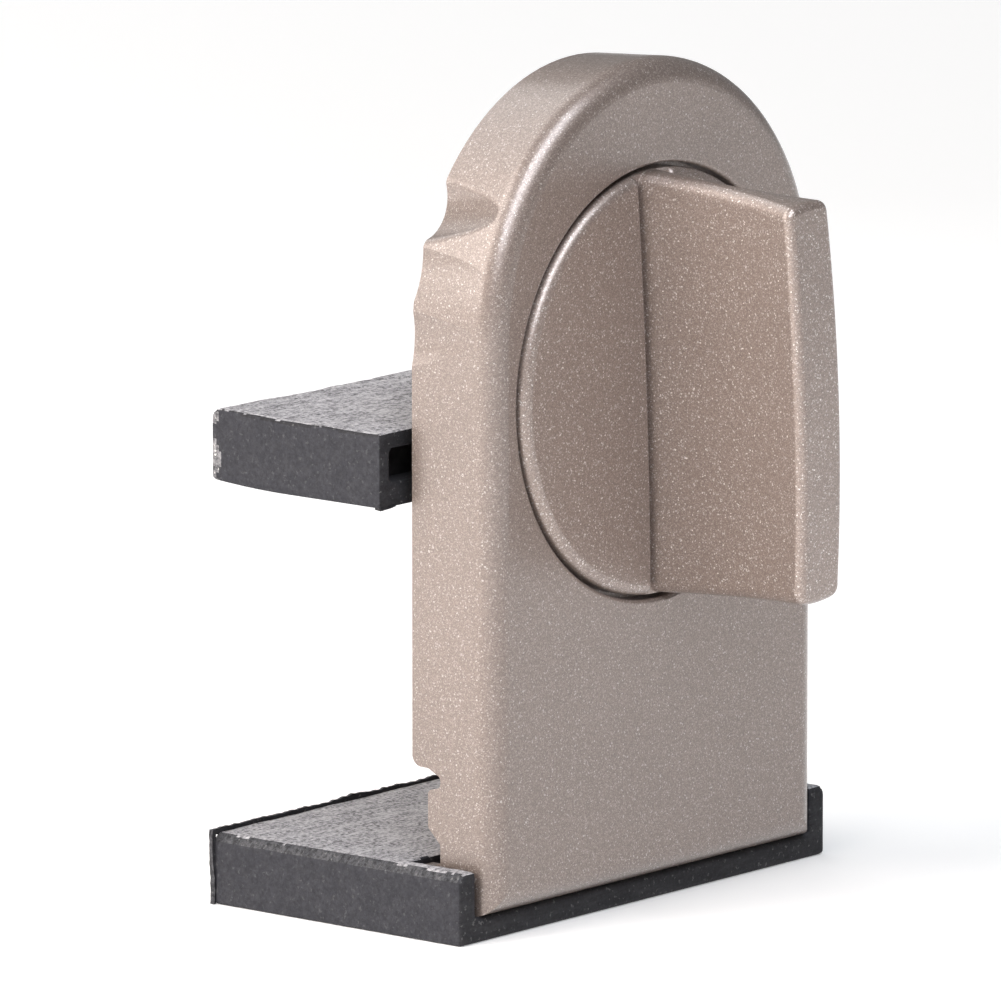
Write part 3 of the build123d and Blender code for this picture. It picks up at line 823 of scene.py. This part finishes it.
# %% [markdown]
# The sock is softer work than the boot: the side's upper edge dips in the middle, its rear
# corners rise a little, and the under edge lifts towards the rear. Each is a smooth rule of how
# far back a point lies. The upright edge at the rear is scuffed white, in ragged patches that a
# smooth wave marks out.

# %% Upper pad: bends, waves and wear
TOP_DIP = 0.1 * MM
TOP_RISE = 0.16 * MM
UNDER_LIFT = 0.32 * MM
LIFT_STARTS = 0.55
LIFT_SPREAD = 0.2
SOCK_SWELL = 0.07 * MM
SOCK_SWELL_LENGTH = 4 * MM
SOCK_RIPPLE = 0.04 * MM
SOCK_RIPPLE_LENGTH = 0.9 * MM
SCUFF_WIDTH = 1.0 * MM
SCUFF_LENGTH = 0.9 * MM
sock_depth = upper_high.y - upper_low.y


def sock_bend(place, normal):
    """How far a point of the sock moves."""
    step = Vector((0, 0, 0))
    back = (place.y - upper_low.y) / sock_depth
    in_skin = place.z > upper_high.z - SOCK_SKIN
    if in_skin:
        dip = -TOP_DIP * math.sin(math.pi * min(max(back, 0), 1))
        step.z += dip + TOP_RISE * (back ** 2) * (abs(place.x) / upper_high.x) ** 2
    if place.z < upper_low.z + SOCK_FLOOR:
        step.z += UNDER_LIFT * max(back - LIFT_STARTS, 0) ** 2 / LIFT_SPREAD
    if normal.z > 0.6 and in_skin:
        swell = SOCK_SWELL * waves(place, SOCK_SWELL_LENGTH, 11)
        step.z += swell + SOCK_RIPPLE * waves(place, SOCK_RIPPLE_LENGTH, 12)
    if abs(normal.x) > 0.8:
        step.x += SIDE_SWELL * waves(place, SIDE_SWELL_LENGTH, 14)
    return step


def sock_rubber(middle, normal):
    """Which rubber a face of the sock wears."""
    # The floor of the pocket takes the painted shade.
    if middle.z < upper_high.z - 0.9 * SOCK_SKIN and normal.z > 0.3:
        return PAINTED_SHADE
    from_rear = upper_high.y - middle.y
    scuffed = waves(middle, SCUFF_LENGTH, 21) > from_rear / SCUFF_WIDTH - 0.4
    if abs(normal.x) > 0.3 and from_rear < SCUFF_WIDTH and scuffed and normal.z < 0.3:
        return SCUFF
    if normal.z > 0.9:
        return TOP
    # Sloping faces and the front take the painted shade.
    if normal.z > 0.3 or normal.y < -0.7:
        return PAINTED_SHADE
    return SIDE


push(upper_sock, sock_bend)
finish_faces(upper_sock, sock_rubber)
print("upper pad wears", len(upper_sock.data.materials), "rubbers")

# %% [markdown]
# A small nib of squeezed rubber hangs from the sock's front corner, made with the same recipe as
# the fins but turned to hang down. Then the sock is joined, smoothed and seated as the boot was,
# on the body that moves with the jaw.

# %% Upper pad: nib, and its place on the lock
NIB_LENGTH = 1.6 * MM
NIB_HEIGHT = 0.16 * MM
NIB_THICKNESS = 0.5 * MM
NIB_IN_FROM_SIDE = 0.9 * MM
NIB_BEHIND_FRONT = 0.25 * MM


def sock_nib():
    """The nib under the sock's left front corner."""
    nib = flash_fin("corner_nib", NIB_LENGTH, NIB_HEIGHT, NIB_THICKNESS, 31)
    place_fin(nib, (-upper_high.x + NIB_IN_FROM_SIDE, upper_low.y + NIB_BEHIND_FRONT, upper_low.z),
              (1, 0, 0), (0, 0, -1))
    finish_faces(nib, lambda middle, normal: PAINTED_SHADE)
    return nib


def fit_upper_pad(pad):
    """Smooths the sock and seats it on the jaw."""
    pick(pad)
    bpy.ops.object.shade_smooth_by_angle(angle=SMOOTH_ANGLE)
    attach(pad, "jaw")
    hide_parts("upper_pad")


join_pieces(upper_sock, [sock_nib()])
fit_upper_pad(upper_sock)
print("upper pad:", len(upper_sock.data.polygons), "faces")
